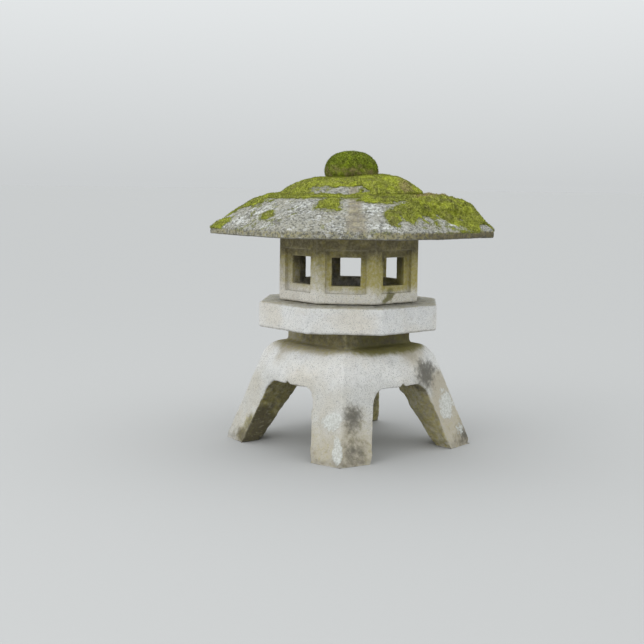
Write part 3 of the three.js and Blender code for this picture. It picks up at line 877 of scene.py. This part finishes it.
SLOPE_PATCHES = [
    # azimuth, distance from the axis, reach round and down the slope, height (degrees and metres)
    (-8, 0.322, 0.040, 0.050, 0.010),
    (-39.5, 0.380, 0.030, 0.021, 0.006),
    (-64, 0.432, 0.034, 0.036, 0.006),
    (-76, 0.315, 0.120, 0.044, 0.006),
    (-80, 0.378, 0.088, 0.036, 0.006),
    (24, 0.296, 0.085, 0.032, 0.007),
    (20.8, 0.392, 0.025, 0.038, 0.009),
    (25.0, 0.372, 0.046, 0.024, 0.009),
    (29.0, 0.388, 0.034, 0.036, 0.010),
    (37, 0.356, 0.060, 0.040, 0.012),
    (60, 0.345, 0.165, 0.080, 0.024),
    (78, 0.395, 0.235, 0.085, 0.026),
    (100, 0.380, 0.150, 0.105, 0.024),
    (130, 0.350, 0.120, 0.070, 0.015),
    (172, 0.345, 0.150, 0.065, 0.012),
    (-140, 0.345, 0.120, 0.055, 0.009),
    (-112, 0.400, 0.070, 0.050, 0.008),
]
# a bare place near the eaves, in the same terms without a height
SLOPE_BARE = (67, 0.452, 0.040, 0.016)


def from_patch(azimuth, reach, turn, distance, round_reach, down_reach):
    """0 in the middle of a patch of the slope and 1 on its border."""
    apart = np.radians((azimuth - turn + 180) % 360 - 180) * distance
    return np.hypot(apart / round_reach, (reach - distance) / down_reach)


def slope_moss(points):
    """A thin line along the ledge round the crown and patches down the slopes, thickest on the right."""
    azimuth, _ = polar(points)
    reach = octagon_reach(points)
    ragged = 0.45 * rough(points, 0.06, 91, 5) + 0.58 * rough(points, 0.019, 97, 3)
    share = 1.5 * fade(reach, 0.304, 0.262) - 0.45 + ragged
    tall = 0.0075 + 0.0045 * lumps(points, 0.045, 98)
    for *patch, height in SLOPE_PATCHES:
        grown = 1.3 * (1 - from_patch(azimuth, reach, *patch)) + ragged
        tall = np.maximum(tall, height * fade(grown, 0.0, 0.7))
        share = np.maximum(share, grown)
    share = np.minimum(share, 1.6 * (from_patch(azimuth, reach, *SLOPE_BARE) - 1) + ragged)
    tall = tall * (1 - 0.7 * fade(reach, 0.375, 0.445))
    on_top = (points[:, 2] > ROOF[0].z + 0.026) * (reach > CROWN_REACH)
    return np.where(on_top, share, -1), tall


def cap_moss(points):
    """The whole dome of the jewel, thinning out round its waist."""
    share = (points[:, 2] - ROOF[1].z) / (JEWEL[1].z - ROOF[1].z)
    return 5 * share + 0.3 * rough(points, 0.02, 95), 0.009 + 0.003 * fade(share, 0.3, 1.0)


def grow(node, body, stone, growth, shoots, seed, dead, tint):
    """Moss over part of a stone: a mat, the shoots on it, and sparser shoots on the bare stone about it."""
    mat = moss_mat("grown_" + node, stone, growth, seed)
    upper = np.arange(len(mat.data.vertices)) < len(mat.data.vertices) // 2
    covered = triangles(mat.data, upper)
    share = growth(places(stone.data))[0]
    border = triangles(stone.data, (share > -0.35) & (share < 0.1))
    sparse = 0.6 * fade(growth(border.mean(axis=1))[0], -0.35, 0.05)
    ground = np.concatenate([covered, border])
    crowding = np.concatenate([np.ones(len(covered)), sparse])
    shoot = sprigs("shoots_" + node, ground, crowding, shoots, seed + 1)
    material = moss_paint(node + "_paint", tint)
    for piece in (mat, shoot):
        keep_values(piece.data, "dead", dead(places(piece.data)))
        dress(piece, node, body, material)


def crown_dead(points):
    """A brown place on the crown's right shoulder."""
    return 0.85 * blob(points, (0.175, -0.10, 0.862), (0.05, 0.09, 0.04), 83)


def slope_dead(points):
    """A brown place high on the right slope."""
    azimuth, _ = polar(points)
    strength = 0.60 + 0.55 * rough(points, 0.05, 93)
    return strength * fade(np.abs(azimuth - 60), 26, 8) * fade(octagon_reach(points), 0.38, 0.31)


def cap_dead(points):
    """Browner towards the jewel's waist."""
    share = (points[:, 2] - ROOF[1].z) / (JEWEL[1].z - ROOF[1].z)
    return 0.60 * fade(share, 0.9, 0.3) - 0.15 + 0.40 * rough(points, 0.03, 99)


# ---- stage, light and camera ----


def floor():
    size = 120
    mesh = bpy.data.meshes.new("floor")
    corners = [(-size, -size, 0), (size, -size, 0), (size, size, 0), (-size, size, 0)]
    mesh.from_pydata(corners, [], [(0, 1, 2, 3)])
    piece = link("floor", mesh)
    paint = Paint("floor_paint")
    mesh.materials.append(paint.finish(FLOOR_GREY, 0.9))


def area_light(name, place, aim, size, power):
    data = bpy.data.lights.new(name, "AREA")
    data.shape = "DISK"
    data.size = size
    data.energy = power
    lamp = link(name, data)
    lamp.location = place
    lamp.rotation_mode = "QUATERNION"
    lamp.rotation_quaternion = (Vector(aim) - Vector(place)).to_track_quat("-Z", "Y")


HORIZON_LIGHT = 0.625
ZENITH_LIGHT = 1.85


def lights():
    """An overcast sky, brighter overhead, with one soft lamp at the front left."""
    world = bpy.data.worlds.new("overcast")
    world.use_nodes = True
    tree = world.node_tree
    split = tree.nodes.new("ShaderNodeSeparateXYZ")
    tree.links.new(tree.nodes.new("ShaderNodeTexCoord").outputs["Generated"], split.inputs[0])
    climb = tree.nodes.new("ShaderNodeMapRange")
    for socket, given in zip(climb.inputs[1:5], (0.0, 1.0, HORIZON_LIGHT, ZENITH_LIGHT), strict=True):
        socket.default_value = given
    tree.links.new(split.outputs["Z"], climb.inputs[0])
    sky = tree.nodes["Background"]
    sky.inputs["Color"].default_value = (0.96, 0.99, 1.0, 1)
    tree.links.new(climb.outputs[0], sky.inputs["Strength"])
    bpy.context.scene.world = world
    area_light("key", (-2.4, -3.2, 3.4), (0, 0, 0.5), 2.4, 42)


def camera():
    """Stands where the lantern is seen a little from its right, and from just below the top of its roof."""
    distance, height = 4.0, 0.881
    azimuth, yaw, pitch, roll = (math.radians(a) for a in (3.31, 1.32, 6.78, 0.707))
    data = bpy.data.cameras.new("camera")
    data.sensor_width = 36
    data.lens = 66.45
    view = link("camera", data)
    turn = azimuth + yaw
    tilt = math.pi / 2 - pitch
    aim = Matrix.Rotation(turn, 4, "Z") @ Matrix.Rotation(tilt, 4, "X") @ Matrix.Rotation(roll, 4, "Z")
    spot = Matrix.Translation((distance * math.sin(azimuth), -distance * math.cos(azimuth), height))
    view.matrix_world = spot @ aim
    bpy.context.scene.camera = view


# ---- the lantern ----

bpy.context.scene.view_settings.view_transform = "Standard"
camera()
floor()
lights()

leg_stone()
platform_stone()
firebox_stone()
roof = roof_stone()
jewel = jewel_stone()
grow("moss_crown", "roof", roof, crown_moss, 30000, 101, crown_dead, CROWN_TINT)
grow("moss_slope", "roof", roof, slope_moss, 49000, 111, slope_dead, SLOPE_TINT)
grow("moss_cap", "jewel", jewel, cap_moss, 14000, 121, cap_dead, CAP_TINT)

lead = plain_paint("lead_paint", (0.30, 0.31, 0.32), (0.16, 0.16, 0.17), 0.55, 0.012, 0.7)
clay = plain_paint("clay_paint", (0.40, 0.20, 0.11), (0.26, 0.12, 0.07), 0.7, 0.012)
wax = plain_paint("wax_paint", (0.86, 0.80, 0.66), (0.78, 0.70, 0.54), 0.45, 0.01)
cotton = plain_paint("cotton_paint", (0.10, 0.09, 0.08), (0.03, 0.03, 0.03), 0.9, 0.002)
for node, finish in (("lamp_saucer", clay), ("candle", wax), ("candle_wick", cotton)):
    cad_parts[node].data.materials.clear()
    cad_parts[node].data.materials.append(finish)
for node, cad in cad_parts.items():
    if "_shim_" in node:
        cad.data.materials.clear()
        cad.data.materials.append(lead)
